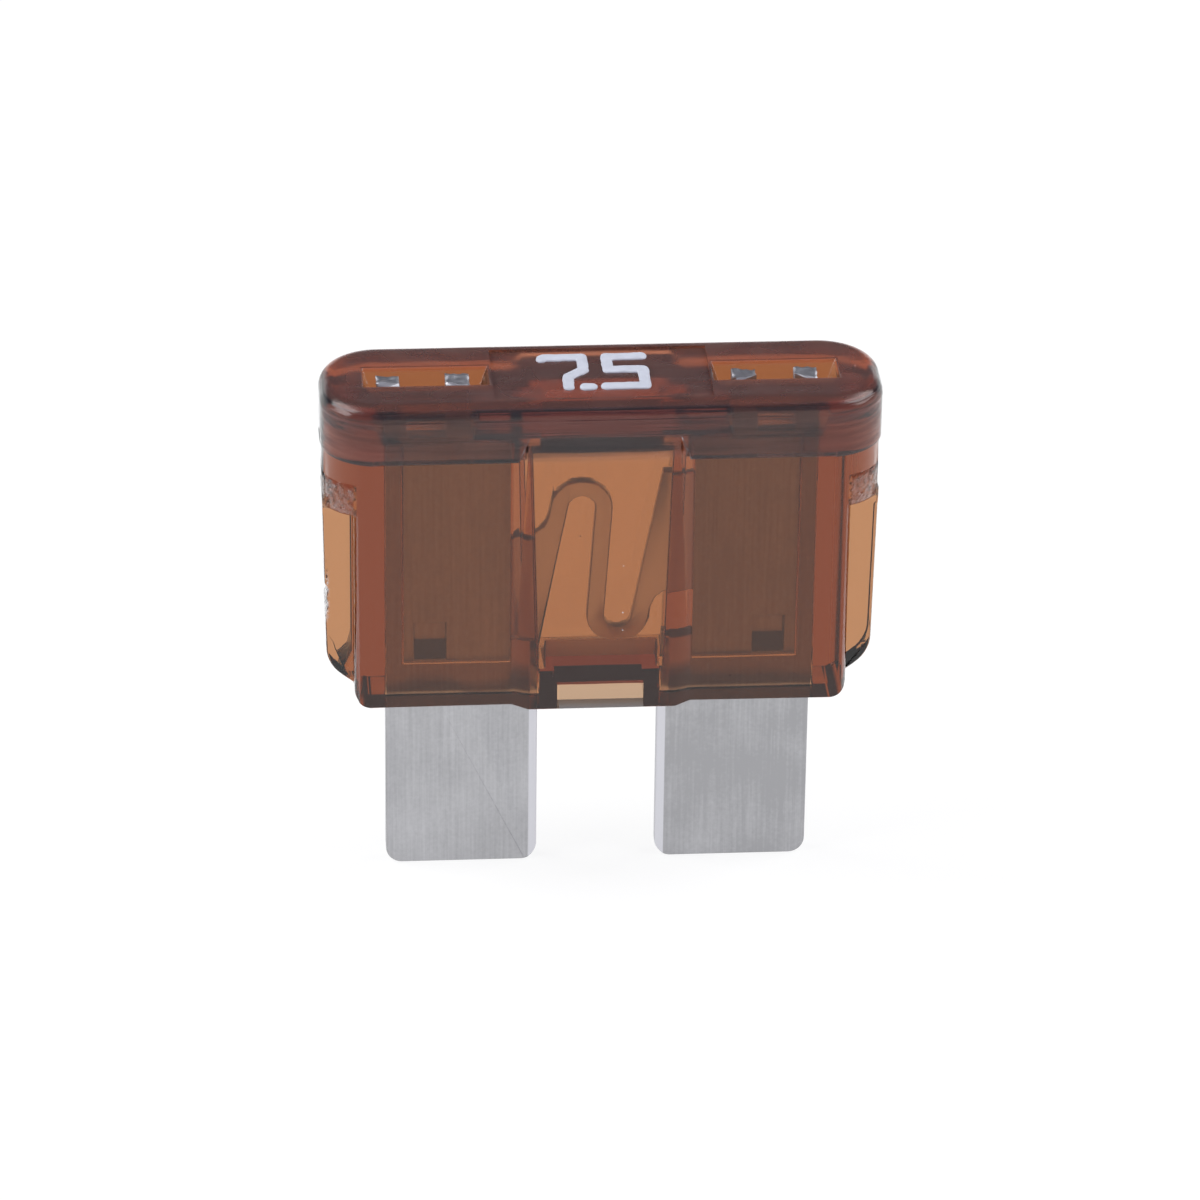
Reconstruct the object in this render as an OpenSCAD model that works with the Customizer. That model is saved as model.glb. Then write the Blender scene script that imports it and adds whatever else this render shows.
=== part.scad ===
// Automotive blade fuse, regular size: a see-through moulded housing, a one-piece
// stamped zinc element and the printed rating on top.
// The blade tips are on Z = 0, the blades stand side by side along X and the front looks to -Y.

/* [Blades] */
// Width of one blade
blade_w = 5.2; // [4.6:0.1:5.6]
// Thickness of the zinc strip
strip_t = 0.65; // [0.5:0.05:0.8]
// Clear gap between the two blades
blade_gap = 4.1; // [3.8:0.1:5]
// Length of blade that stands out below the housing
blade_reach = 6.95; // [5:0.05:9]
// Radius of the blade's two corners at the tip
tip_r = 0.55; // [0.2:0.05:0.9]
// Width of the coined bevel on the blade's inner edge
bevel_w = 0.3; // [0.1:0.05:0.5]
// Depth of that bevel from each face
bevel_d = 0.15; // [0.05:0.01:0.2]
// Height above the housing's bottom at which the blade narrows to its leg
blade_shoulder = 2.05; // [1.95:0.05:2.4]
// How much narrower the leg is than the blade, on its inner side
leg_step = 0.95; // [0.6:0.05:1.2]

/* [Test prongs] */
// Width of the outer prong
prong_outer_w = 0.75; // [0.5:0.05:1]
// Width of the inner prong
prong_inner_w = 0.8; // [0.5:0.05:1]
// Gap between the two prongs of a leg
prong_gap = 1.3; // [0.8:0.05:1.6]
// Height of the prongs above the leg
prong_h = 1.7; // [1.2:0.05:1.9]
// Depth of the sheared prong ends below the top of the cap
prong_sunk = 0.12; // [0.1:0.02:0.6]
// How far the end of the left outer prong leans outwards
prong_lean = 0.26; // [0:0.02:0.3]

/* [Fuse link] */
// Width of the S-shaped link
link_w = 0.58; // [0.4:0.02:0.7]
// Thickness of the link, coined thinner than the strip
link_t = 0.36; // [0.2:0.02:0.5]
// Radius of the two bends, to the middle of the link
bend_r = 0.735; // [0.6:0.01:0.8]
// Distance between the bend centres, across
bend_across = 1.22; // [1:0.02:1.4]
// Distance between the bend centres, along the blades
bend_along = 4.1; // [3.4:0.1:4.6]
// Height of the link's middle above the housing's bottom
link_rise = 4.75; // [4.4:0.05:5]
// Lean of the two outer limbs of the link, in degrees
limb_lean = 10.3; // [6:0.1:12]
// Radius of the fillet where a root runs out of its leg
root_fillet = 0.9; // [0.5:0.05:1.1]
// Height of the root's end above the link's middle
root_end = 1.05; // [0.6:0.05:1.4]

/* [Catches] */
// Width of the square dimple that is punched into each leg from the front
catch_w = 1.1; // [0.8:0.05:1.4]
// Height of that dimple
catch_h = 1.4; // [1:0.05:1.6]
// Depth of the dimple at its top
catch_d = 0.34; // [0.2:0.02:0.4]
// Height of the dimple's flat floor, above its ramp
catch_flat = 0.75; // [0.5:0.05:0.9]
// Clearance behind the dimple's raised back, in its pocket
catch_gap = 0.05; // [0.03:0.01:0.08]
// Distance of the dimple's middle from the blade's outer edge
catch_in = 1.5; // [1.2:0.05:2.2]

/* [Housing] */
// Width of the cap
cap_w = 18.84; // [18:0.02:20]
// Thickness of the cap, front to back
cap_t = 5.1; // [4.9:0.05:5.6]
// Height of the cap
cap_h = 2.08; // [1.9:0.02:2.6]
// Radius of the cap's corners seen from above
cap_corner_r = 2; // [1.2:0.1:2.3]
// Radius of the fillet round the cap's top edge
cap_fillet = 0.55; // [0.3:0.05:0.8]
// Height of the body, from its bottom to the underside of the cap
body_h = 9.47; // [9:0.05:11]
// Thickness of the body
body_t = 3.8; // [3.4:0.05:4.2]
// Width of the body between its ears
body_w = 16.7; // [16.2:0.05:17.2]
// Radius of the body's lower corners
body_corner_r = 0.6; // [0.3:0.05:1]
// Radius of the body's upright edges
body_edge_r = 0.3; // [0.1:0.05:0.5]
// Width over the ears and the shoulders
ear_span = 18.74; // [18.2:0.02:19.4]
// Thickness of the ears
ear_t = 1.75; // [1.2:0.05:2]
// Height of the shoulder, from the ears up to the cap
shoulder_h = 2.2; // [1.6:0.1:3]
// Radius of the shoulder's rounded ends seen from above
shoulder_r = 1.5; // [1:0.1:1.7]
// Height of the ear's lower inner corner above the housing's bottom
ear_foot = 0.45; // [0.1:0.05:0.6]
// Slope of the ear's lower edge, in degrees
ear_slope = 38; // [25:1:50]
// Radius of the ear's lower outer corner
ear_corner_r = 1.3; // [0.6:0.05:1.6]
// Inward slope of the ear's outer edge over its height
ear_taper = 0.1; // [0:0.02:0.2]

/* [Window band] */
// Width of the raised band's face
band_w = 5; // [4.9:0.1:5.6]
// Width of one slanted side of the band
band_side = 0.55; // [0.3:0.05:0.8]
// How far the band stands out of the body's face
band_rise = 0.4; // [0.2:0.05:0.5]
// Height of the notch that the cap leaves free over the band
notch_h = 0.9; // [0.5:0.05:1.1]
// Flare of each side of that notch towards its foot
notch_flare = 0.35; // [0.1:0.05:0.5]
// Step that marks the band's face at the foot of the notch
notch_step = 0.05; // [0.02:0.01:0.1]

/* [Hollows] */
// Width of the link chamber at its top
chamber_top_w = 4.72; // [4.4:0.02:4.8]
// Width of the link chamber at its floor
chamber_floor_w = 4.24; // [4.1:0.02:4.4]
// Thickness of the window in front of and behind the link
window_t = 1.15; // [0.8:0.05:1.3]
// Height of the chamber's floor above the housing's bottom
chamber_floor = 1.2; // [0.9:0.05:1.3]
// Height of the sill behind the front window, above the chamber's floor
sill_h = 1.1; // [0.9:0.05:1.3]
// Width of the sill
sill_w = 3.7; // [2.4:0.1:3.8]
// Clearance between the sill's slope and the lower bend of the link
sill_gap = 0.09; // [0.05:0.01:0.2]
// Thickness of plastic between the chamber and the recess below it
plug_t = 0.62; // [0.3:0.02:0.7]
// Width of the recess below the chamber
recess_w = 2.9; // [2.4:0.05:3.2]
// Depth of the cap's plastic above the chamber's roof
roof_t = 2.15; // [1.9:0.05:2.4]
// Clearance all round the element in its slots
slot_gap = 0.05; // [0.03:0.01:0.08]
// Extra clearance in front of and behind each leg, in its pocket
pocket_gap = 0.2; // [0.1:0.02:0.3]
// Distance of the pocket's side from the leg's outer edge
pocket_side = 0.55; // [0.3:0.05:1]
// Height of the pocket's floor above the housing's bottom
pocket_rise = 1.2; // [1:0.05:1.25]
// Width of a test well at the top
well_w = 4.24; // [4:0.02:4.5]
// Opening of a test well, front to back
well_t = 1.45; // [1:0.05:1.8]
// Distance of the well's outer end from the middle plane
well_out = 7.98; // [7.6:0.02:8.2]
// Draft of each end of a well over its depth
well_draft = 0.6; // [0:0.02:0.6]

/* [Rating] */
// Height of the numerals
digit_h = 2.7; // [1.8:0.05:2.8]
// Width of the numeral seven
seven_w = 1.75; // [1.4:0.05:2]
// Width of the numeral five
five_w = 1.55; // [1.1:0.05:1.7]
// Width of a stroke
stroke_w = 0.42; // [0.3:0.02:0.5]
// Space between the numerals
digit_space = 0.45; // [0.4:0.05:0.8]
// Width of the point
point_w = 0.58; // [0.5:0.02:0.7]
// Distance of the point's middle inside the seven's right side
point_in = 0.1; // [0.05:0.05:0.3]
// Shift of the print to the left of the panel's middle
print_left = 0.24; // [0:0.02:0.4]
// Shift of the print to the back of the panel's middle
print_back = 0.2; // [0:0.05:0.3]
// Thickness of the raised strokes
stroke_t = 0.1; // [0.06:0.01:0.15]
// Width of the sunk panel that holds the numerals
panel_w = 7.3; // [5:0.1:7.4]
// Depth of that panel, front to back
panel_l = 3.8; // [3.2:0.1:3.9]

/* [Wear] */
// Depth of the chip in the left ear's outer edge
chip_d = 0.16; // [0.05:0.01:0.3]
// Height of the chip along the edge
chip_h = 1.3; // [0.8:0.1:2]
// Height of the chip's lower end above the housing's bottom
chip_rise = 3.1; // [1.5:0.1:4.5]

/* [Hidden] */
$fn = 48;
// Overrun of a cut past the face that it opens
over = 1;
// Overlap of pieces that are moulded or stamped as one
weld = 0.2;

// Levels above the blade tips
body_z = blade_reach;
cap_z = body_z + body_h;
top_z = cap_z + cap_h;
shoulder_z = cap_z - shoulder_h;
leg_z = body_z + blade_shoulder;
prong_tip_z = top_z - prong_sunk;
prong_z = prong_tip_z - prong_h;
link_z = body_z + link_rise;

// Distances from the middle plane
blade_in = blade_gap / 2;
blade_out = blade_in + blade_w;
leg_in = blade_in + leg_step;
well_in = well_out - well_w;
prong_mid = blade_out - prong_outer_w;
prong_in = prong_mid - prong_gap;
catch_x = blade_out - catch_in;
catch_z = body_z + pocket_rise + slot_gap;
catch_out = slot_gap + pocket_gap - catch_gap;
band_t = body_t + 2 * band_rise;
chamber_t = band_t - 2 * window_t;
slot_t = strip_t + 2 * slot_gap;

// Ear: its lower edge and outer edge run out of a round corner
ear_edge = ear_span / 2 - ear_taper;
ear_run = ear_corner_r * tan((90 - ear_slope) / 2);
ear_low = body_z + ear_foot + (ear_edge - body_w / 2) * tan(ear_slope);

// Link: the middle limb is the straight line that touches both bends from inside
bend_reach = sqrt(pow(bend_across, 2) + pow(bend_along, 2));
mid_limb = sqrt(pow(bend_reach, 2) - 4 * pow(bend_r, 2));
mid_lean = asin(2 * bend_r / bend_reach) - atan(bend_across / bend_along);
bend_out = bend_r + link_w / 2;
bend_in = bend_r - link_w / 2;
limb_side = [-cos(limb_lean), sin(limb_lean)];
limb_down = [-sin(limb_lean), -cos(limb_lean)];
bend_mid = [-bend_across / 2, bend_along / 2];
limb_touch = bend_mid + bend_out * limb_side;
limb_start = bend_mid + bend_in * limb_side;
fillet_run = (limb_touch[1] + root_fillet * limb_side[1] - root_end - root_fillet) / cos(limb_lean);
fillet_touch = limb_touch + fillet_run * limb_down;
fillet_mid = fillet_touch + root_fillet * limb_side;
limb_end = limb_start + (limb_start[0] + blade_in) / sin(limb_lean) * limb_down;

// The sill's slope passes under the front of the link's lower bend
sill_under = link_z - bend_along / 2 - bend_out - sill_gap - body_z - chamber_floor;
sill_l = (chamber_t - link_t) / 2 / (1 - sill_under / sill_h);

// Draws a flat outline upright, centred on the middle plane, with a given thickness
module upright(t) {
    rotate([90, 0, 0])
        linear_extrude(height = t, center = true)
            children();
}

// Does the same thing on the left and the right
module both_sides() {
    children();
    mirror([1, 0, 0]) children();
}

// Rectangle with round corners, centred
module round_rect(w, t, r) {
    square([w - 2 * r, t], center = true);
    square([w, t - 2 * r], center = true);
    for (x = [-1, 1], y = [-1, 1])
        translate([x * (w / 2 - r), y * (t / 2 - r)])
            circle(r);
}

// Section of the filleted slab at the top of the cap, half its width each way
module fillet_section(half) {
    translate([-(half - cap_fillet), 0])
        square([2 * (half - cap_fillet), cap_fillet]);
    for (x = [-1, 1])
        translate([x * (half - cap_fillet), 0])
            intersection() {
                circle(cap_fillet);
                translate([-cap_fillet, 0]) square([2 * cap_fillet, cap_fillet]);
            }
}

module cap_corner() {
    rotate_extrude() {
        square([cap_corner_r - cap_fillet, cap_fillet]);
        translate([cap_corner_r - cap_fillet, 0])
            intersection() {
                circle(cap_fillet);
                square(cap_fillet);
            }
    }
}

module cap_blank() {
    translate([0, 0, cap_z])
        linear_extrude(height = cap_h - cap_fillet)
            round_rect(cap_w, cap_t, cap_corner_r);
    translate([0, 0, top_z - cap_fillet]) {
        rotate([90, 0, 90])
            linear_extrude(height = cap_w - 2 * cap_corner_r, center = true)
                fillet_section(cap_t / 2);
        rotate([90, 0, 0])
            linear_extrude(height = cap_t - 2 * cap_corner_r, center = true)
                fillet_section(cap_w / 2);
        for (x = [-1, 1], y = [-1, 1])
            translate([x * (cap_w / 2 - cap_corner_r), y * (cap_t / 2 - cap_corner_r), 0])
                cap_corner();
    }
}

module body_blank() {
    // Core between the ears
    intersection() {
        translate([0, 0, body_z])
            linear_extrude(height = body_h + weld)
                round_rect(body_w, body_t, body_edge_r);
        upright(body_t + over)
            translate([0, body_z + body_h / 2 + over])
                round_rect(body_w, body_h + 2 * over, body_corner_r);
    }
    // Shoulders under the cap
    translate([0, 0, shoulder_z])
        linear_extrude(height = shoulder_h + weld)
            round_rect(ear_span, body_t, shoulder_r);
    // Thin ears down both ends
    both_sides()
        upright(ear_t) {
            polygon([
                [body_w / 2 - weld, body_z + ear_foot],
                [body_w / 2, body_z + ear_foot],
                [ear_edge - ear_run * cos(ear_slope), ear_low - ear_run * sin(ear_slope)],
                [ear_edge - ear_corner_r, ear_low + ear_run],
                [ear_edge, ear_low + ear_run],
                [ear_span / 2, shoulder_z + weld],
                [body_w / 2 - weld, shoulder_z + weld]
            ]);
            translate([ear_edge - ear_corner_r, ear_low + ear_run])
                circle(ear_corner_r);
        }
}

// Raised band with the windows, front and back
module band_blank() {
    translate([0, 0, body_z])
        linear_extrude(height = body_h + notch_h)
            polygon([
                [-band_w / 2 - band_side, -body_t / 2],
                [-band_w / 2, -band_t / 2],
                [band_w / 2, -band_t / 2],
                [band_w / 2 + band_side, -body_t / 2],
                [band_w / 2 + band_side, body_t / 2],
                [band_w / 2, band_t / 2],
                [-band_w / 2, band_t / 2],
                [-band_w / 2 - band_side, body_t / 2]
            ]);
}

// Notch in the cap's front and back, over the band
module cap_notches() {
    for (side = [-1, 1])
        translate([0, side * (band_t / 2 - notch_step + over / 2), 0])
            upright(over)
                polygon([
                    [-band_w / 2 - notch_flare, cap_z],
                    [band_w / 2 + notch_flare, cap_z],
                    [band_w / 2, cap_z + notch_h],
                    [-band_w / 2, cap_z + notch_h]
                ]);
}

// The middle of the floor rises in a slope to a sill behind the front window
module link_chamber() {
    difference() {
        upright(chamber_t)
            polygon([
                [-chamber_floor_w / 2, body_z + chamber_floor],
                [chamber_floor_w / 2, body_z + chamber_floor],
                [chamber_top_w / 2, top_z - roof_t],
                [-chamber_top_w / 2, top_z - roof_t]
            ]);
        translate([0, -chamber_t / 2, body_z + chamber_floor])
            rotate([90, 0, 90])
                linear_extrude(height = sill_w, center = true)
                    polygon([[-over, -over], [sill_l, -over], [sill_l, 0], [0, sill_h], [-over, sill_h]]);
    }
}

// Recess in the bottom, under the chamber
module bottom_recess() {
    translate([-recess_w / 2, -chamber_t / 2, body_z - over])
        cube([recess_w, chamber_t, chamber_floor - plug_t + over]);
}

module element_slot() {
    translate([blade_in - slot_gap, -slot_t / 2, body_z - over])
        cube([blade_w + 2 * slot_gap, slot_t, prong_z + slot_gap - body_z + over]);
}

module leg_pocket() {
    pocket_t = slot_t + 2 * pocket_gap;
    translate([leg_in, -pocket_t / 2, body_z + pocket_rise])
        cube([blade_out - pocket_side - leg_in, pocket_t, prong_z - pocket_rise - body_z]);
}

module test_well() {
    upright(well_t)
        polygon([
            [well_in + well_draft, prong_z],
            [well_out - well_draft, prong_z],
            [well_out, top_z],
            [well_out, top_z + over],
            [well_in, top_z + over],
            [well_in, top_z]
        ]);
}

module ear_chip() {
    translate([-ear_span / 2, 0, 0])
        upright(ear_t + over)
            polygon([
                [-over, body_z + chip_rise],
                [chip_d / 3, body_z + chip_rise],
                [chip_d, body_z + chip_rise + chip_h / 5],
                [chip_d * 0.7, body_z + chip_rise + chip_h / 2],
                [chip_d * 1.1, body_z + chip_rise + chip_h * 0.7],
                [0, body_z + chip_rise + chip_h],
                [-over, body_z + chip_rise + chip_h]
            ]);
}

module sunk_panel() {
    translate([0, 0, top_z - stroke_t])
        linear_extrude(height = stroke_t + over)
            square([panel_w, panel_l], center = true);
}

module housing() {
    color("saddlebrown") {
        difference() {
            union() {
                difference() {
                    cap_blank();
                    cap_notches();
                }
                body_blank();
                band_blank();
            }
            link_chamber();
            bottom_recess();
            both_sides() {
                element_slot();
                leg_pocket();
                test_well();
            }
            ear_chip();
            sunk_panel();
        }
    }
}

// Outline of one blade with its leg and prongs, on the right
module blade_outline(lean) {
    difference() {
        union() {
            translate([blade_in, 0])
                square([blade_w, leg_z]);
            translate([leg_in, leg_z - weld])
                square([blade_out - leg_in, prong_z - leg_z + weld]);
            polygon([
                [prong_mid, prong_z - weld],
                [blade_out, prong_z - weld],
                [blade_out, prong_z],
                [blade_out + lean, prong_tip_z],
                [prong_mid + lean, prong_tip_z],
                [prong_mid, prong_z]
            ]);
            translate([prong_in - prong_inner_w, prong_z - weld])
                square([prong_inner_w, prong_h + weld]);
        }
        // Rounded corners at the tip
        translate([blade_in + tip_r, tip_r]) tip_cut(-1);
        translate([blade_out - tip_r, tip_r]) tip_cut(1);
    }
}

// What a round corner takes off, left of its centre for -1 and right of it for 1
module tip_cut(side) {
    difference() {
        translate([side > 0 ? 0 : -tip_r - over, -tip_r - over])
            square(tip_r + over);
        circle(tip_r);
    }
}

// Cross-section of a blade, with both sides of its inner edge bevelled
module blade_section() {
    polygon([
        [blade_in, -strip_t / 2 + bevel_d],
        [blade_in + bevel_w, -strip_t / 2],
        [blade_out, -strip_t / 2],
        [blade_out, strip_t / 2],
        [blade_in + bevel_w, strip_t / 2],
        [blade_in, strip_t / 2 - bevel_d]
    ]);
}

// The bevel ends where the blade narrows, and a leaning prong stands out past the section
module blade(lean) {
    difference() {
        union() {
            intersection() {
                linear_extrude(height = leg_z)
                    blade_section();
                upright(strip_t + over)
                    blade_outline(lean);
            }
            intersection() {
                upright(strip_t)
                    blade_outline(lean);
                translate([leg_in, -strip_t, leg_z - weld])
                    cube([blade_w, 2 * strip_t, prong_tip_z - leg_z + weld]);
            }
            translate([catch_x - catch_w / 2, strip_t / 2 - weld, catch_z])
                cube([catch_w, catch_out + weld, catch_h]);
        }
        catch_dimple();
    }
}

// Square dimple in the front of a leg, with a ramp up to its flat floor
module catch_dimple() {
    translate([catch_x, -strip_t / 2, catch_z])
        rotate([90, 0, 90])
            linear_extrude(height = catch_w, center = true)
                polygon([
                    [-over, 0],
                    [0, 0],
                    [catch_d, catch_h - catch_flat],
                    [catch_d, catch_h],
                    [-over, catch_h]
                ]);
}

// One bend of the link with the outer limb that widens into its root
module bend_and_root() {
    reach = bend_out + over;
    translate(bend_mid)
        intersection() {
            difference() {
                circle(bend_out);
                circle(bend_in);
            }
            polygon([
                [0, 0],
                reach * [cos(-mid_lean), sin(-mid_lean)],
                reach * [1, 1],
                reach * [-1, 1],
                reach * limb_side
            ]);
        }
    difference() {
        polygon([
            limb_start,
            limb_end,
            [-leg_in - weld, limb_end[1]],
            [-leg_in - weld, root_end],
            [fillet_mid[0], root_end],
            fillet_touch,
            limb_touch
        ]);
        translate(fillet_mid)
            circle(root_fillet);
    }
}

module link() {
    upright(link_t)
        translate([0, link_z]) {
            rotate(-mid_lean)
                square([link_w, mid_limb + weld / 4], center = true);
            for (turn = [0, 180])
                rotate(turn)
                    bend_and_root();
        }
}

module fuse_element() {
    color("lightgray") {
        blade(0);
        mirror([1, 0, 0]) blade(prong_lean);
        link();
    }
}

// Straight stroke with round ends from one point to another
module stroke(from, to) {
    run = to - from;
    translate(from) {
        circle(stroke_w / 2);
        rotate(atan2(run[1], run[0]))
            translate([0, -stroke_w / 2])
                square([norm(run), stroke_w]);
    }
    translate(to) circle(stroke_w / 2);
}

module strokes(points) {
    for (i = [1 : len(points) - 1])
        stroke(points[i - 1], points[i]);
}

module seven() {
    half = stroke_w / 2;
    strokes([
        [half, digit_h - half],
        [seven_w - half, digit_h - half],
        [seven_w - half, digit_h * 0.56],
        [seven_w * 0.57, digit_h * 0.36],
        [seven_w * 0.57, half]
    ]);
}

module five() {
    half = stroke_w / 2;
    strokes([
        [five_w - half, digit_h - half],
        [half, digit_h - half],
        [half, digit_h * 0.55],
        [five_w - half, digit_h * 0.55],
        [five_w - half, half],
        [half / 2, half]
    ]);
}

module rating_numerals() {
    whole = seven_w + digit_space + five_w;
    half = stroke_w / 2;
    color("white")
        translate([-whole / 2 - print_left, -digit_h / 2 + print_back, top_z - stroke_t])
            linear_extrude(height = stroke_t) {
                seven();
                translate([seven_w - point_in, half])
                    stroke([half - point_w / 2, 0], [point_w / 2 - half, 0]);
                translate([seven_w + digit_space, 0])
                    five();
            }
}

housing();
fuse_element();
rating_numerals();
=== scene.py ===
import math

import bmesh
import bpy
from mathutils import Matrix, Vector, noise


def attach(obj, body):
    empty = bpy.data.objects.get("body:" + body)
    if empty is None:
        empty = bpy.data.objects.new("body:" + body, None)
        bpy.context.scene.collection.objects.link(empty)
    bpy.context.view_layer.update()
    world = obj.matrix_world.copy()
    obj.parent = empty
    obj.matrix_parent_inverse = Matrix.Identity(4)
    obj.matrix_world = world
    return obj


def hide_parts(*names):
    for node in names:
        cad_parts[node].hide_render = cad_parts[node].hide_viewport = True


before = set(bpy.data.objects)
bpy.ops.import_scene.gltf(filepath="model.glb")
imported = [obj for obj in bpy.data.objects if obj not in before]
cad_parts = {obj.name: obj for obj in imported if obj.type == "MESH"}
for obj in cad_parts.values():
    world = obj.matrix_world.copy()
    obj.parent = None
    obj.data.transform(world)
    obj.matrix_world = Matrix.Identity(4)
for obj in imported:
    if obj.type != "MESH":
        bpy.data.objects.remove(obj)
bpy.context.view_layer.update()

MM = 0.001

# The camera that matches the photograph: angles in degrees, lengths in millimetres, and the lens
# as the number of pixels that one radian covers in an image 1200 pixels wide
VIEW_AZIMUTH, VIEW_ELEVATION, VIEW_ROLL = -4.38, 27.83, 0.73
VIEW_DISTANCE = 226.1
VIEW_TARGET = Vector((0, 0, 9.4))
VIEW_SHIFT = Vector((0.080, 0.437, 0))
LENS_PIXELS, IMAGE_PIXELS, SENSOR = 6640, 1200, 36

# The cap's rounded skin, in millimetres: half its width and thickness, its corners and its top edge
CAP_HALF, CAP_CORNER, CAP_FILLET = (9.42, 2.55), 2.0, 0.55
CAP_FOOT, CAP_TOP = 16.42, 18.5
# The body's bottom, half the width of the recess in it, and how far out the ears reach
BODY_FOOT, RECESS_HALF, EAR_EDGE = 6.95, 1.42, 9.4
# The raised numerals: the panel they stand on, their near left corner there, their sizes, and half the
# width of an upright and of a level stroke
PANEL_LEVEL, PRINT_CORNER = 18.4, Vector((-2.115, -1.15))
DIGIT_HEIGHT, SEVEN_WIDTH, FIVE_START, FIVE_WIDTH = 2.7, 1.75, 2.2, 1.55
UPRIGHT_HALF, LEVEL_HALF = 0.19, 0.235
# Faces of the element larger than this, in square millimetres, are shaded flat
LARGE_FACE = 0.3


def colour(code):
    """Linear colour of an sRGB hex value."""
    parts = [int(code[i:i + 2], 16) / 255 for i in (0, 2, 4)]
    linear = [c / 12.92 if c <= 0.04045 else ((c + 0.055) / 1.055) ** 2.4 for c in parts]
    return (*linear, 1)


def add(tree, kind, settings=None, **links):
    """Adds a node with its own settings. links are its sockets' values, or the sockets they come from."""
    node = tree.nodes.new(kind)
    for name, value in (settings or {}).items():
        setattr(node, name, value)
    for name, value in links.items():
        socket = node.inputs[int(name[1:])] if name[1:].isdigit() else node.inputs[name.replace("_", " ")]
        if isinstance(value, bpy.types.NodeSocket):
            tree.links.new(value, socket)
        else:
            socket.default_value = value
    return node


def new_material(name):
    material = bpy.data.materials.new(name)
    material.use_nodes = True
    material.node_tree.nodes.clear()
    return material, material.node_tree


def near(tree, value, middle, half, fade):
    """1 where a coordinate is within half of the middle, down to 0 over the fade. All in millimetres."""
    away = add(tree, "ShaderNodeMath", {"operation": "SUBTRACT"}, _0=value, _1=middle * MM).outputs[0]
    away = add(tree, "ShaderNodeMath", {"operation": "ABSOLUTE"}, _0=away).outputs[0]
    return add(tree, "ShaderNodeMapRange", Value=away, From_Min=half * MM, From_Max=(half + fade) * MM,
               To_Min=1.0, To_Max=0.0).outputs[0]


def times(tree, first, second):
    return add(tree, "ShaderNodeMath", {"operation": "MULTIPLY"}, _0=first, _1=second).outputs[0]


def plus(tree, first, second):
    return add(tree, "ShaderNodeMath", {"operation": "ADD"}, _0=first, _1=second).outputs[0]


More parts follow.
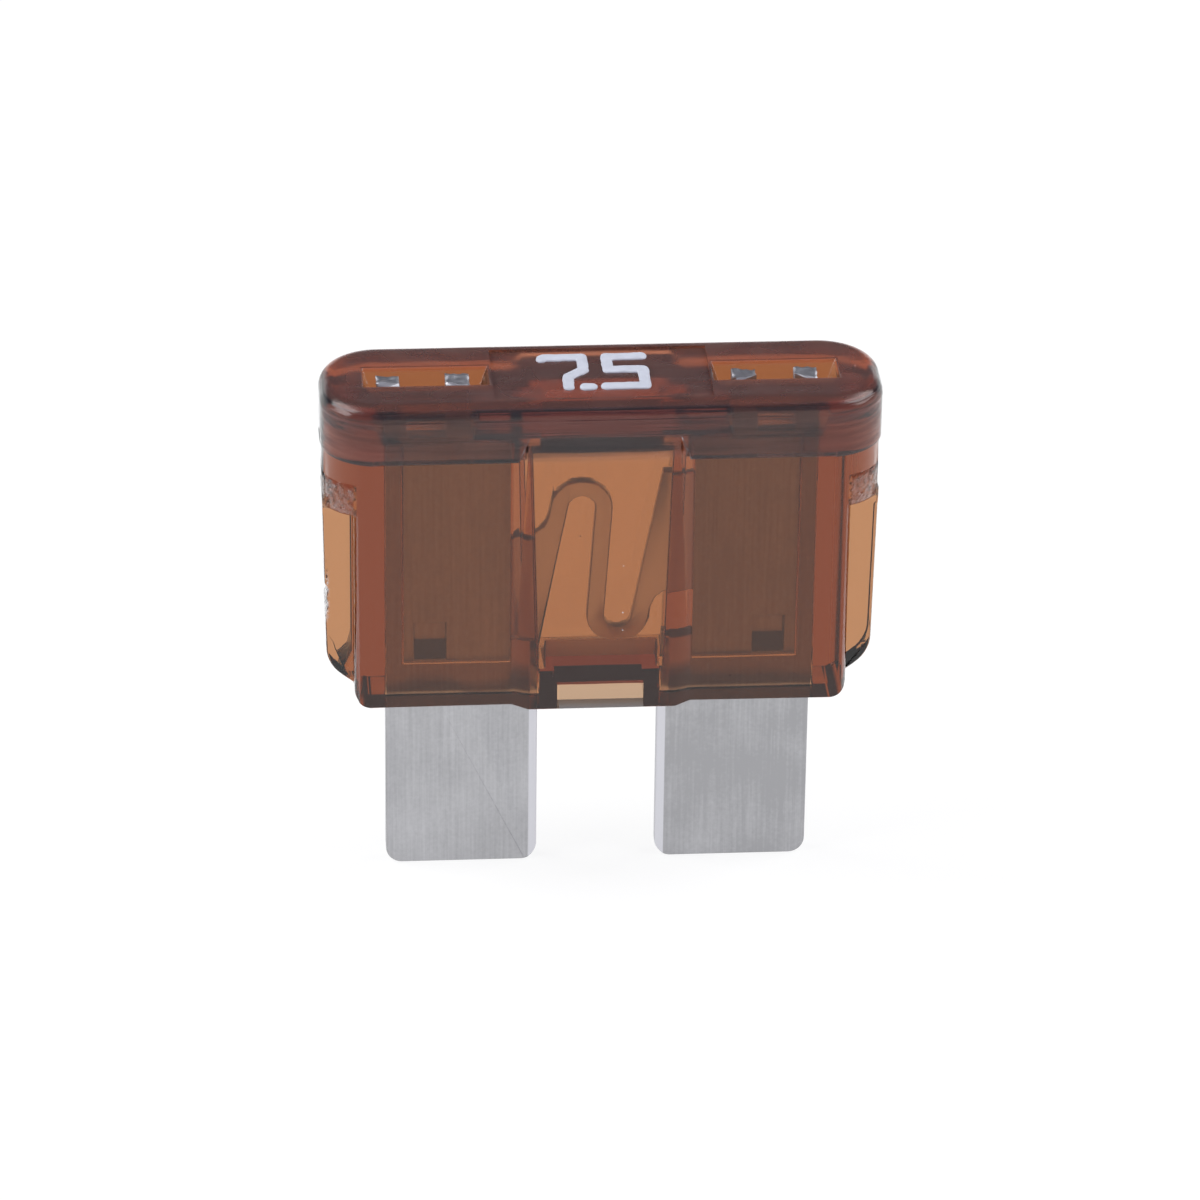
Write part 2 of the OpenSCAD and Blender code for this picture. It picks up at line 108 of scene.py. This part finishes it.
def brown_polycarbonate():
    """Clear polycarbonate tinted brown, injection moulded: glossy, darker with depth, its cap a little hazy."""
    material, tree = new_material("brown_polycarbonate")
    place = add(tree, "ShaderNodeTexCoord").outputs["Object"]
    axes = add(tree, "ShaderNodeSeparateXYZ", Vector=place).outputs
    side = add(tree, "ShaderNodeMath", {"operation": "ABSOLUTE"}, _0=axes["X"]).outputs[0]
    cap = add(tree, "ShaderNodeMapRange", Value=axes["Z"], From_Min=16.3 * MM, From_Max=16.5 * MM).outputs[0]
    top = add(tree, "ShaderNodeMapRange", Value=axes["Z"], From_Min=18.3 * MM, From_Max=18.38 * MM).outputs[0]
    face = add(tree, "ShaderNodeMapRange", Value=axes["Y"], From_Min=-1.0 * MM, From_Max=-1.3 * MM).outputs[0]

    # Flow lines lie across the cap, 0.1 to 0.3 mm apart, and show far less in the body
    stretched_place = add(tree, "ShaderNodeMapping", Vector=place, Scale=(160, 1200, 5200)).outputs[0]
    lines = add(tree, "ShaderNodeTexNoise", Vector=stretched_place, Scale=1.0, Detail=3.0, Distortion=0.3).outputs["Fac"]
    amount = add(tree, "ShaderNodeMapRange", Value=cap, To_Min=0.15, To_Max=1.0).outputs[0]
    skin = times(tree, lines, times(tree, amount, 0.03 * MM))
    # The wall sinks by a few hundredths of a millimetre between the thick places
    sunk = add(tree, "ShaderNodeTexNoise", Vector=place, Scale=700.0, Detail=1.0).outputs["Fac"]
    skin = plus(tree, skin, times(tree, sunk, times(tree, amount, 0.03 * MM)))
    # A parting line runs round the cap below its rounded top edge, and a finer one above it
    for level, height in ((17.95, 0.010), (18.28, 0.006)):
        skin = plus(tree, skin, times(tree, near(tree, axes["Z"], level, 0.01, 0.03), height * MM))
    # Torn flash stands crinkled where each ear runs out under the shoulder
    torn = times(tree, near(tree, side, EAR_EDGE, 1.05, 0.1), near(tree, axes["Z"], 14.75, 0.35, 0.3))
    crinkle = add(tree, "ShaderNodeTexNoise", Vector=place, Scale=3000.0, Detail=4.0,
                  Distortion=1.0).outputs["Fac"]
    skin = plus(tree, skin, times(tree, crinkle, times(tree, torn, 0.35 * MM)))
    bump = add(tree, "ShaderNodeBump", Height=skin, Strength=1.0, Distance=1.0).outputs[0]

    # Faces that look down slope a little from front to back, as they leave the mould: the back half of the
    # thick bottom, which sinks, and the lower edges of the ears. Their normals are turned, not bumped,
    # because a bump would lean the other way for the light inside the plastic
    bottom = near(tree, axes["Z"], BODY_FOOT, 0.01, 0.005)
    start = add(tree, "ShaderNodeMapRange", Value=side, From_Min=1.5 * MM, From_Max=7.0 * MM,
                To_Min=0.5 * MM, To_Max=-0.25 * MM).outputs[0]
    slope = add(tree, "ShaderNodeMath", {"operation": "GREATER_THAN"}, _0=axes["Y"], _1=start).outputs[0]
    beside = add(tree, "ShaderNodeMapRange", Value=side, From_Min=2.0 * MM, From_Max=2.2 * MM).outputs[0]
    slope = times(tree, slope, beside)
    slope = times(tree, times(tree, slope, bottom), math.tan(math.radians(6.5)))
    ear = times(tree, near(tree, side, EAR_EDGE, 1.04, 0.005), near(tree, axes["Z"], 7.9, 1.2, 0.1))
    slope = plus(tree, slope, times(tree, ear, math.tan(math.radians(14.0))))
    down = add(tree, "ShaderNodeSeparateXYZ", Vector=bump).outputs["Z"]
    turn = add(tree, "ShaderNodeCombineXYZ", Y=times(tree, slope, down)).outputs[0]
    turned = add(tree, "ShaderNodeVectorMath", {"operation": "ADD"}, _0=bump, _1=turn).outputs[0]
    turned = add(tree, "ShaderNodeVectorMath", {"operation": "NORMALIZE"}, _0=turned).outputs[0]

    # The cap's skin is finely matt from its tool, less so round its two ends, and the left ear has a
    # scuffed edge
    scuff = near(tree, axes["X"], -9.35, 0.10, 0.12)
    scuff = times(tree, scuff, near(tree, axes["Z"], 10.7, 0.5, 0.5))
    grain = add(tree, "ShaderNodeTexNoise", Vector=place, Scale=9000.0, Detail=2.0).outputs["Fac"]
    grain = add(tree, "ShaderNodeMapRange", Value=grain, From_Min=0.42, From_Max=0.55).outputs[0]
    scuff = times(tree, scuff, grain)
    gloss = add(tree, "ShaderNodeMapRange", Value=lines, To_Min=0.02, To_Max=0.06).outputs[0]
    haze = add(tree, "ShaderNodeMapRange", Value=sunk, From_Min=0.3, From_Max=0.7,
               To_Min=0.08, To_Max=0.2).outputs[0]
    gloss = plus(tree, gloss, times(tree, cap, haze))
    ends = add(tree, "ShaderNodeMapRange", Value=side, From_Min=8.4 * MM, From_Max=9.1 * MM,
               To_Min=1.0, To_Max=0.35).outputs[0]
    gloss = times(tree, gloss, ends)
    gloss = plus(tree, gloss, plus(tree, times(tree, top, 0.1), times(tree, scuff, 0.5)))
    # Frosted by the mould's rougher steel: the sill in the chamber, the body's two upright edges at the
    # back, and the rims of the recess in the bottom
    sill = times(tree, near(tree, side, 0.0, 1.88, 0.02), near(tree, axes["Z"], 8.68, 0.57, 0.02))
    sill = times(tree, sill, near(tree, axes["Y"], -0.3, 0.82, 0.02))
    upright = times(tree, near(tree, side, 8.22, 0.15, 0.03), near(tree, axes["Y"], 1.8, 0.25, 0.05))
    upright = times(tree, upright, near(tree, axes["Z"], 11.5, 4.8, 0.1))
    rim = times(tree, near(tree, side, 0.0, RECESS_HALF, 0.02), bottom)
    frosted = plus(tree, times(tree, sill, 0.5), times(tree, upright, 0.45))
    gloss = plus(tree, gloss, plus(tree, frosted, times(tree, rim, 0.7)))

    # Pale painted glints: highlights painted on the notch's two slanted edges, where the left ear meets the
    # body, and faintly on the torn flash
    slant = plus(tree, side, times(tree, plus(tree, axes["Z"], -CAP_FOOT * MM), 0.389))
    painted_glints = times(tree, near(tree, slant, 2.85, 0.03, 0.03), near(tree, axes["Z"], 16.85, 0.42, 0.05))
    painted_glints = times(tree, painted_glints, near(tree, axes["Y"], -2.4, 0.17, 0.01))
    joint = times(tree, near(tree, axes["X"], -8.36, 0.02, 0.02), near(tree, axes["Z"], 10.9, 3.0, 0.4))
    painted_glints = plus(tree, painted_glints, times(tree, joint, face))
    painted_glints = plus(tree, painted_glints, times(tree, torn, 0.15))
    patches = add(tree, "ShaderNodeMapRange", Value=crinkle, From_Min=0.45, From_Max=0.6).outputs[0]
    painted_glints = times(tree, painted_glints, patches)

    # Dust: pale specks about 0.05 mm wide, a few on each face, and a thin film on the cap
    specks = add(tree, "ShaderNodeTexVoronoi", Vector=place, Scale=1400.0).outputs
    chosen = add(tree, "ShaderNodeMath", {"operation": "GREATER_THAN"},
                 _0=add(tree, "ShaderNodeSeparateXYZ", Vector=specks["Color"]).outputs["X"], _1=0.93).outputs[0]
    dot = add(tree, "ShaderNodeMapRange", Value=specks["Distance"], From_Min=0.03, From_Max=0.06,
              To_Min=1.0, To_Max=0.0).outputs[0]
    dust_and_glints = plus(tree, times(tree, times(tree, dot, chosen), 0.5), times(tree, cap, 0.028))
    dust_and_glints = plus(tree, dust_and_glints, plus(tree, times(tree, top, 0.06), times(tree, scuff, 0.6)))
    # The painted glints also let less light through, so they show pale
    dust_and_glints = plus(tree, dust_and_glints, times(tree, painted_glints, 0.5))
    clear = add(tree, "ShaderNodeMath", {"operation": "SUBTRACT", "use_clamp": True}, _0=1.0, _1=dust_and_glints)

    shell = add(tree, "ShaderNodeBsdfPrincipled", Roughness=gloss, Normal=turned,
                Transmission_Weight=clear.outputs[0])
    # The base colour holds back some of the light that comes through the cap. Its front is painted in dark
    # bluish level streaks about 0.4 mm high, as painted shade with a painted reflection of the dim room; its
    # matt back has a faint even tone, and its top a reddish one. The recess walls in the bottom carry a painted
    # shadow, and the painted glints are pale
    stretched_place = add(tree, "ShaderNodeMapping", Vector=place, Scale=(110, 500, 2600)).outputs[0]
    shade_streaks = add(tree, "ShaderNodeTexNoise", Vector=stretched_place, Scale=1.0, Detail=4.0, Distortion=0.2).outputs["Fac"]
    shade_streaks = add(tree, "ShaderNodeMapRange", Value=shade_streaks, From_Min=0.38, From_Max=0.62).outputs[0]
    cap_front_painted_shade = add(tree, "ShaderNodeMix", {"data_type": "RGBA"}, _0=shade_streaks,
                  _6=colour("DED8E0"), _7=colour("8A8EA2")).outputs[2]
    behind = add(tree, "ShaderNodeMapRange", Value=axes["Y"], From_Min=0.55 * MM, From_Max=0.65 * MM).outputs[0]
    # Painted shadow: the recess walls are tinted pale blue, for the shadowed floor seen through them
    recess = near(tree, side, 0.0, RECESS_HALF + 0.01, 0.02)
    recess = times(tree, recess, near(tree, axes["Z"], 7.3, 0.58, 0.03))
    tone = colour("FFFFFF")
    for share, over in ((times(tree, cap, face), cap_front_painted_shade), (times(tree, cap, behind), colour("DFCBCB")),
                        (top, colour("E8AAA0")), (recess, colour("EAF3FF")), (painted_glints, colour("F0F0F6"))):
        tone = add(tree, "ShaderNodeMix", {"data_type": "RGBA"}, _0=share, _6=tone, _7=over).outputs[2]
    tree.links.new(tone, shell.inputs["Base Color"])
    shell.inputs["IOR"].default_value = 1.55
    # The tint goes through the plastic, so it deepens with the way that the light takes in it
    tint = add(tree, "ShaderNodeVolumeAbsorption", Color=colour("DDAC46"), Density=1400)
    add(tree, "ShaderNodeOutputMaterial", Surface=shell.outputs[0], Volume=tint.outputs[0])
    return material


def rolled_zinc():
    """Zinc alloy strip, rolled and stamped: satin, with faint drawn lines along the blades and small scuffs."""
    material, tree = new_material("rolled_zinc")
    place = add(tree, "ShaderNodeTexCoord").outputs["Object"]
    axes = add(tree, "ShaderNodeSeparateXYZ", Vector=place).outputs
    side = add(tree, "ShaderNodeMath", {"operation": "ABSOLUTE"}, _0=axes["X"]).outputs[0]
    # Drawn lines 0.05 to 0.1 mm apart, each some millimetres long
    lines = add(tree, "ShaderNodeMapping", Vector=place, Scale=(9000, 3000, 260)).outputs[0]
    drawn = add(tree, "ShaderNodeTexNoise", Vector=lines, Scale=1.0, Detail=3.0, Roughness=0.6).outputs["Fac"]
    # Rolling grain, drawn 0.1 mm wide so that it shows
    grain = add(tree, "ShaderNodeTexNoise", Vector=place, Scale=7000.0, Detail=4.0,
                Roughness=0.7).outputs["Fac"]
    cloud = add(tree, "ShaderNodeTexNoise", Vector=place, Scale=420.0, Detail=3.0).outputs["Fac"]
    tone = plus(tree, times(tree, drawn, 0.35), plus(tree, times(tree, grain, 0.25), times(tree, cloud, 0.4)))
    shade = add(tree, "ShaderNodeMapRange", Value=tone, From_Min=0.36, From_Max=0.64).outputs[0]
    # Painted shade: the right half of the strip is a shade darker
    right = add(tree, "ShaderNodeMath", {"operation": "GREATER_THAN"}, _0=axes["X"], _1=0.0).outputs[0]
    shade = plus(tree, shade, times(tree, right, -0.35))
    mixed = add(tree, "ShaderNodeMix", {"data_type": "RGBA"}, _0=shade,
                _6=colour("A4A4A7"), _7=colour("C0C0C3")).outputs[2]
    # Scuffs and pits: dark specks 0.05 to 0.1 mm across
    pits = add(tree, "ShaderNodeTexVoronoi", Vector=place, Scale=1100.0).outputs
    chosen = add(tree, "ShaderNodeMath", {"operation": "GREATER_THAN"},
                 _0=add(tree, "ShaderNodeSeparateXYZ", Vector=pits["Color"]).outputs["X"], _1=0.88).outputs[0]
    dot = add(tree, "ShaderNodeMapRange", Value=pits["Distance"], From_Min=0.03, From_Max=0.08,
              To_Min=0.5, To_Max=0.0).outputs[0]
    pit_and_shade = times(tree, chosen, dot)
    # The link and its roots are lighter. A painted highlight runs along an edge of each blade, and the prongs'
    # torn ends are bare rough metal
    lighter_link = times(tree, near(tree, side, 0.0, 2.6, 0.3), near(tree, axes["Z"], 11.7, 3.6, 0.4))
    painted_edge_highlight = times(tree, near(tree, side, 2.2, 0.13, 0.03), near(tree, axes["Z"], 3.4, 3.6, 0.1))
    torn = near(tree, axes["Z"], 18.4, 0.4, 0.05)
    for share, tone in ((lighter_link, "EAEAEC"), (painted_edge_highlight, "D6D6DC"), (torn, "B4B4BA")):
        mixed = add(tree, "ShaderNodeMix", {"data_type": "RGBA"}, _0=share,
                    _6=mixed, _7=colour(tone)).outputs[2]
    # Painted shade darkens the ramp of each leg's dimple, in the same dark tone as the pits
    dimple_painted_shade = times(tree, near(tree, side, 5.75, 0.54, 0.01), near(tree, axes["Z"], 8.5, 0.3, 0.2))
    dimple_painted_shade = times(tree, dimple_painted_shade, near(tree, axes["Y"], -0.15, 0.155, 0.015))
    pit_and_shade = add(tree, "ShaderNodeMath", {"operation": "MAXIMUM"}, _0=pit_and_shade, _1=times(tree, dimple_painted_shade, 0.85)).outputs[0]
    marked = add(tree, "ShaderNodeMix", {"data_type": "RGBA"}, _0=pit_and_shade, _6=mixed, _7=colour("6A6A6E"))
    height = plus(tree, times(tree, drawn, 0.0015 * MM), times(tree, grain, 0.001 * MM))
    bump = add(tree, "ShaderNodeBump", Height=height, Strength=1.0, Distance=1.0)
    gloss = add(tree, "ShaderNodeMapRange", Value=cloud, To_Min=0.3, To_Max=0.44)
    rough = plus(tree, gloss.outputs[0], times(tree, torn, 0.12))
    skin = add(tree, "ShaderNodeBsdfPrincipled", Roughness=rough, Normal=bump.outputs[0])
    tree.links.new(marked.outputs[2], skin.inputs["Base Color"])
    skin.inputs["Metallic"].default_value = 1
    add(tree, "ShaderNodeOutputMaterial", Surface=skin.outputs[0])
    return material


def printed_white_ink():
    """White ink pressed on raised strokes: matt, a little thin in places."""
    material, tree = new_material("printed_white_ink")
    place = add(tree, "ShaderNodeTexCoord").outputs["Object"]
    cover = add(tree, "ShaderNodeTexNoise", Vector=place, Scale=2500.0, Detail=3.0).outputs["Fac"]
    mixed = add(tree, "ShaderNodeMix", {"data_type": "RGBA"}, _0=cover,
                _6=colour("B8BCC8"), _7=colour("D2D6E2"))
    ink = add(tree, "ShaderNodeBsdfPrincipled", Roughness=0.55)
    tree.links.new(mixed.outputs[2], ink.inputs["Base Color"])
    add(tree, "ShaderNodeOutputMaterial", Surface=ink.outputs[0])
    return material


def seen_directly(tree):
    """1 for rays from the camera, and for those that a gloss or a clear part sends on, else 0."""
    path = add(tree, "ShaderNodeLightPath")
    first = add(tree, "ShaderNodeMath", {"operation": "MAXIMUM"},
                _0=path.outputs["Is Camera Ray"], _1=path.outputs["Is Glossy Ray"])
    return add(tree, "ShaderNodeMath", {"operation": "MAXIMUM"},
               _0=first.outputs[0], _1=path.outputs["Is Transmission Ray"]).outputs[0]


def white_paper():
    """White paper under the fuse: it shows as white, and keeps a faint soft shadow."""
    material, tree = new_material("white_paper")
    paper = add(tree, "ShaderNodeBsdfDiffuse", Color=colour("7C7C7C"))
    glow = add(tree, "ShaderNodeEmission", Color=(1, 1, 1, 1), Strength=0.82)
    lit = add(tree, "ShaderNodeAddShader", _0=paper.outputs[0], _1=glow.outputs[0])
    dull = add(tree, "ShaderNodeBsdfDiffuse", Color=colour("E4E4E4"))
    both = add(tree, "ShaderNodeMixShader", _0=seen_directly(tree), _1=dull.outputs[0], _2=lit.outputs[0])
    add(tree, "ShaderNodeOutputMaterial", Surface=both.outputs[0])
    return material


def set_studio():
    world = bpy.data.worlds.new("studio")
    world.use_nodes = True
    tree = world.node_tree
    tree.nodes.clear()
    # White paper reaches up to a little over the level of the fuse. The room above it is dim, less so in front
    place = add(tree, "ShaderNodeTexCoord").outputs["Generated"]
    axes = add(tree, "ShaderNodeSeparateXYZ", Vector=place).outputs
    paper = add(tree, "ShaderNodeMapRange", Value=axes["Z"], From_Min=0.12, From_Max=0.3,
                To_Min=1.0, To_Max=0.125).outputs[0]
    side = add(tree, "ShaderNodeMath", {"operation": "ABSOLUTE"}, _0=axes["X"]).outputs[0]
    width = add(tree, "ShaderNodeMapRange", Value=side, From_Min=0.6, From_Max=0.9,
                To_Min=1.0, To_Max=0.55).outputs[0]
    paper = times(tree, paper, width)
    front = add(tree, "ShaderNodeMapRange", Value=axes["Y"], From_Min=0.1, From_Max=-0.7,
                To_Min=0.0, To_Max=0.5).outputs[0]
    room = add(tree, "ShaderNodeMath", {"operation": "MAXIMUM"}, _0=paper, _1=front).outputs[0]
    # The camera itself sees plain white, and the dim part of the room is bluish
    camera = add(tree, "ShaderNodeLightPath").outputs["Is Camera Ray"]
    level = add(tree, "ShaderNodeMath", {"operation": "MAXIMUM"}, _0=room, _1=camera).outputs[0]
    tone = colour("DADDF6")
    for share in (paper, camera):
        tone = add(tree, "ShaderNodeMix", {"data_type": "RGBA"}, _0=share, _6=tone, _7=(1, 1, 1, 1)).outputs[2]
    sky = add(tree, "ShaderNodeBackground", Color=tone, Strength=level)
    add(tree, "ShaderNodeOutputWorld", Surface=sky.outputs[0])
    bpy.context.scene.world = world

    bpy.ops.mesh.primitive_plane_add(size=3, location=(0, 0, 0))
    floor = bpy.context.object
    floor.name = "floor"
    floor.data.materials.append(white_paper())


def add_softbox(name, place, size, watts):
    lamp = bpy.data.lights.new(name, "AREA")
    lamp.shape = "RECTANGLE"
    lamp.size, lamp.size_y = (side * MM for side in size)
    lamp.energy = watts
    stand = bpy.data.objects.new(name, lamp)
    bpy.context.scene.collection.objects.link(stand)
    stand.location = Vector(place) * MM
    aim = VIEW_TARGET * MM - stand.location
    stand.rotation_euler = aim.to_track_quat("-Z", "Y").to_euler()


def place_camera():
    azimuth, elevation, roll = (math.radians(a) for a in (VIEW_AZIMUTH, VIEW_ELEVATION, VIEW_ROLL))
    level = math.cos(elevation)
    back = Vector((math.sin(azimuth) * level, -math.cos(azimuth) * level, math.sin(elevation)))
    right = Vector((math.cos(azimuth), math.sin(azimuth), 0))
    up = back.cross(right)
    rolled_right = math.cos(roll) * right + math.sin(roll) * up
    rolled_up = math.cos(roll) * up - math.sin(roll) * right
    turn = Matrix((rolled_right, rolled_up, back)).transposed()
    lens = bpy.data.cameras.new("camera")
    lens.sensor_width = SENSOR
    lens.lens = LENS_PIXELS / IMAGE_PIXELS * SENSOR
    lens.clip_start, lens.clip_end = 0.005, 10
    camera = bpy.data.objects.new("camera", lens)
    camera.matrix_world = turn.to_4x4()
    camera.location = (VIEW_TARGET + turn @ (VIEW_SHIFT + Vector((0, 0, VIEW_DISTANCE)))) * MM
    bpy.context.scene.collection.objects.link(camera)
    bpy.context.scene.camera = camera


def on_cap_skin(point):
    """Moves a point near the cap's rounded corners or top edge onto their true curve. All in millimetres."""
    x, y, z = point
    out = Vector((math.copysign(max(abs(x) - CAP_HALF[0] + CAP_CORNER, 0), x),
                  math.copysign(max(abs(y) - CAP_HALF[1] + CAP_CORNER, 0), y)))
    reach = out.length
    side, rise = reach - CAP_CORNER + CAP_FILLET, z - CAP_TOP + CAP_FILLET
    if z < CAP_FOOT - 0.01 or reach < 0.01:
        return None
    if rise <= 0.001:
        if abs(reach - CAP_CORNER) > 0.04 or min(abs(out.x), abs(out.y)) < 0.01:
            return None
        new_reach, new_z = CAP_CORNER, z
    else:
        length = math.hypot(side, rise)
        if side < -0.001 or abs(length - CAP_FILLET) > 0.04:
            return None
        new_reach = CAP_CORNER - CAP_FILLET + side * CAP_FILLET / length
        new_z = CAP_TOP - CAP_FILLET + rise * CAP_FILLET / length
    shift = out * (new_reach / reach - 1)
    return Vector((x + shift.x, y + shift.y, new_z))


def copy_faces(node):
    """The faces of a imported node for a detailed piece, with each flat face whole again."""
    work = bmesh.new()
    work.from_mesh(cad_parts[node].data)
    bmesh.ops.remove_doubles(work, verts=work.verts, dist=0.0005 * MM)
    bmesh.ops.dissolve_limit(work, angle_limit=math.radians(0.3), verts=work.verts, edges=work.edges)
    return work


def make_piece(name, work, node, material):
    """Turns faces into a piece that stands for a node and rides with it."""
    mesh = bpy.data.meshes.new(name)
    work.to_mesh(mesh)
    work.free()
    piece = bpy.data.objects.new(name, mesh)
    bpy.context.scene.collection.objects.link(piece)
    mesh.materials.append(material)
    mesh.shade_smooth()
    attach(piece, "root")
    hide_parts(node)
    return piece


def round_edges(piece, width, steps, share):
    """Rounds each edge by its share of a width in millimetres, and keeps the flat faces flat to the eye."""
    mark = piece.data.attributes.new("bevel_weight_edge", "FLOAT", "EDGE")
    work = bmesh.new()
    work.from_mesh(piece.data)
    for edge in work.edges:
        if edge.calc_face_angle(0) > math.radians(25):
            mark.data[edge.index].value = share(edge)
    work.free()
    bevel = piece.modifiers.new("moulded_edges", "BEVEL")
    bevel.width, bevel.segments, bevel.limit_method = width * MM, steps, "WEIGHT"
    bevel.use_clamp_overlap = False
    keep_result(piece)
    piece.data.set_sharp_from_angle(angle=math.radians(38))
    flats = piece.modifiers.new("flat_faces", "WEIGHTED_NORMAL")
    flats.weight, flats.keep_sharp = 80, True
    keep_result(piece)


def keep_result(piece):
    """Makes the shape that a piece's modifiers give its own."""
    piece.data = bpy.data.meshes.new_from_object(piece.evaluated_get(bpy.context.evaluated_depsgraph_get()))
    piece.modifiers.clear()


def moulded_roundness(edge):
    """1 for an edge to round, 0 for a short one and for those of the panel, notch, ears' tops and recess."""
    spots = [vert.co / MM for vert in edge.verts]
    for x, y, z in spots:
        if z > PANEL_LEVEL - 0.01 and abs(x) < 3.7 and abs(y) < 2.0:
            return 0
        if z > CAP_FOOT - 0.02 and 2.2 < abs(y) < 2.34:
            return 0
        if abs(x) > 9.2 and 14.0 < z < 14.6:
            return 0
    if all(abs(x) < 1.5 and abs(y) < 1.2 and z < 7.6 for x, y, z in spots):
        return 0
    return 0 if edge.calc_length() < 0.08 * MM else 1


def moulded_housing():
    """The housing as it comes out of its mould, with its cap's curves true and its edges a little round."""
    work = copy_faces("housing")
    curved = [e for e in work.edges if all(on_cap_skin(v.co / MM) for v in e.verts)]
    cut = bmesh.ops.subdivide_edges(work, edges=curved, cuts=3, use_grid_fill=True)
    for vert in {v for v in cut["geom_inner"] if isinstance(v, bmesh.types.BMVert)}:
        place = on_cap_skin(vert.co / MM)
        if place:
            vert.co = place * MM
    # The ears' long faces are parted above their round corners and below the shoulder
    for level in (9.0, 13.8):
        middles = [(f, f.calc_center_median() / MM) for f in work.faces]
        ears = [f for f, middle in middles if abs(middle.x) > 8.5 and middle.z < 14.3]
        parts = {g for f in ears for g in (*f.verts, *f.edges, f)}
        bmesh.ops.bisect_plane(work, geom=list(parts), dist=1e-8,
                               plane_co=(0, 0, level * MM), plane_no=(0, 0, 1))
    piece = make_piece("moulded_housing", work, "housing", brown_polycarbonate())
    round_edges(piece, 0.06, 2, moulded_roundness)


def stamped_element():
    """The zinc element with edges rounded by the press, and test prongs torn off rough at their ends."""
    work = copy_faces("fuse_element")
    for level in (17.85, 18.1):
        bmesh.ops.bisect_plane(work, geom=work.verts[:] + work.edges[:] + work.faces[:], dist=1e-8,
                               plane_co=(0, 0, level * MM), plane_no=(0, 0, 1))
    ends = [f for f in work.faces if f.normal.z > 0.9 and f.calc_center_median().z > 18.2 * MM]
    edges = {e for f in ends for e in f.edges}
    bmesh.ops.subdivide_edges(work, edges=list(edges), cuts=7, use_grid_fill=True)
    level = max(v.co.z for v in work.verts)
    for vert in work.verts:
        if vert.co.z > level - 0.001 * MM:
            spot = vert.co / MM
            rough = noise.noise(Vector((spot.x * 4.1, spot.y * 6.3, 2.7)))
            lift = noise.noise(Vector((spot.x * 1.3, spot.y * 2.0, 9.1)))
            vert.co.z += (0.09 * rough + 0.1 * lift - 0.02) * MM
            vert.co.x += 0.03 * noise.noise(spot * 5.0) * MM
            vert.co.y += 0.02 * noise.noise(spot * 4.0 + Vector((7, 3, 1))) * MM
    piece = make_piece("stamped_element", work, "fuse_element", rolled_zinc())
    # The torn ends stay sharp
    round_edges(piece, 0.04, 2, lambda edge: 0 if any(v.co.z > 17.7 * MM for v in edge.verts) else 1)
    for face in piece.data.polygons:
        if face.area > LARGE_FACE * MM * MM:
            face.use_smooth = False


def raised_stroke(work, start, end):
    """One domed stroke from point to point, in millimetres on the sunk panel."""
    verts = []
    for middle in (start, end):
        for level, share in ((-0.06, 1.0), (0.045, 1.0), (0.075, 0.86), (0.092, 0.6), (0.098, 0.25)):
            for step in range(20):
                turn = math.tau * step / 20
                across = Vector((UPRIGHT_HALF * math.cos(turn), LEVEL_HALF * math.sin(turn)))
                spot = PRINT_CORNER + Vector(middle) + share * across
                verts.append(work.verts.new(Vector((spot.x, spot.y, PANEL_LEVEL + level)) * MM))
    bmesh.ops.convex_hull(work, input=verts)


def printed_numerals():
    """Seven, point and five: raised strokes that run together, domed and a little uneven under their ink."""
    x, y, high = UPRIGHT_HALF, LEVEL_HALF, DIGIT_HEIGHT
    neck = 0.57 * SEVEN_WIDTH
    seven = [(x, high - y - 0.08), (x + 0.1, high - y), (SEVEN_WIDTH - x, high - y),
             (SEVEN_WIDTH - x, 0.56 * high), (neck, 0.36 * high), (neck, y)]
    point = [(SEVEN_WIDTH - 0.2, y - 0.03), (SEVEN_WIDTH, y - 0.03)]
    five = [(FIVE_WIDTH - x, high - y), (x, high - y), (x, 0.55 * high), (FIVE_WIDTH - x, 0.55 * high),
            (FIVE_WIDTH - x, y), (x - 0.15, y)]
    five = [(FIVE_START + across, up) for across, up in five]
    work = bmesh.new()
    for line in (seven, point, five):
        for start, end in zip(line, line[1:]):
            raised_stroke(work, start, end)
    piece = make_piece("printed_numerals", work, "rating_numerals", printed_white_ink())
    merged = piece.modifiers.new("strokes_run_together", "REMESH")
    merged.mode, merged.voxel_size, merged.use_smooth_shade = "VOXEL", 0.028 * MM, True
    eased = piece.modifiers.new("ink_flows", "SMOOTH")
    eased.factor, eased.iterations = 0.5, 3
    keep_result(piece)
    work = bmesh.new()
    work.from_mesh(piece.data)
    for vert in work.verts:
        spot = vert.co / MM
        uneven = Vector((noise.noise(spot * 3.1), noise.noise(spot * 3.1 + Vector((5, 9, 2))), 0))
        vert.co += (0.03 * uneven + Vector((0, 0, 0.008 * noise.noise(spot * 5.0)))) * MM
    cut = bmesh.ops.bisect_plane(work, geom=work.verts[:] + work.edges[:] + work.faces[:], dist=1e-8,
                                 plane_co=(0, 0, (PANEL_LEVEL + 0.001) * MM), plane_no=(0, 0, 1),
                                 clear_inner=True)
    bmesh.ops.holes_fill(work, edges=[e for e in cut["geom_cut"] if isinstance(e, bmesh.types.BMEdge)])
    work.to_mesh(piece.data)
    work.free()


place_camera()
set_studio()
add_softbox("softbox_left", (-190, 0, 150), (210, 210), 0.6)
add_softbox("softbox_right", (190, 0, 150), (210, 210), 0.5)
moulded_housing()
stamped_element()
printed_numerals()
bpy.context.scene.view_settings.view_transform = "Standard"
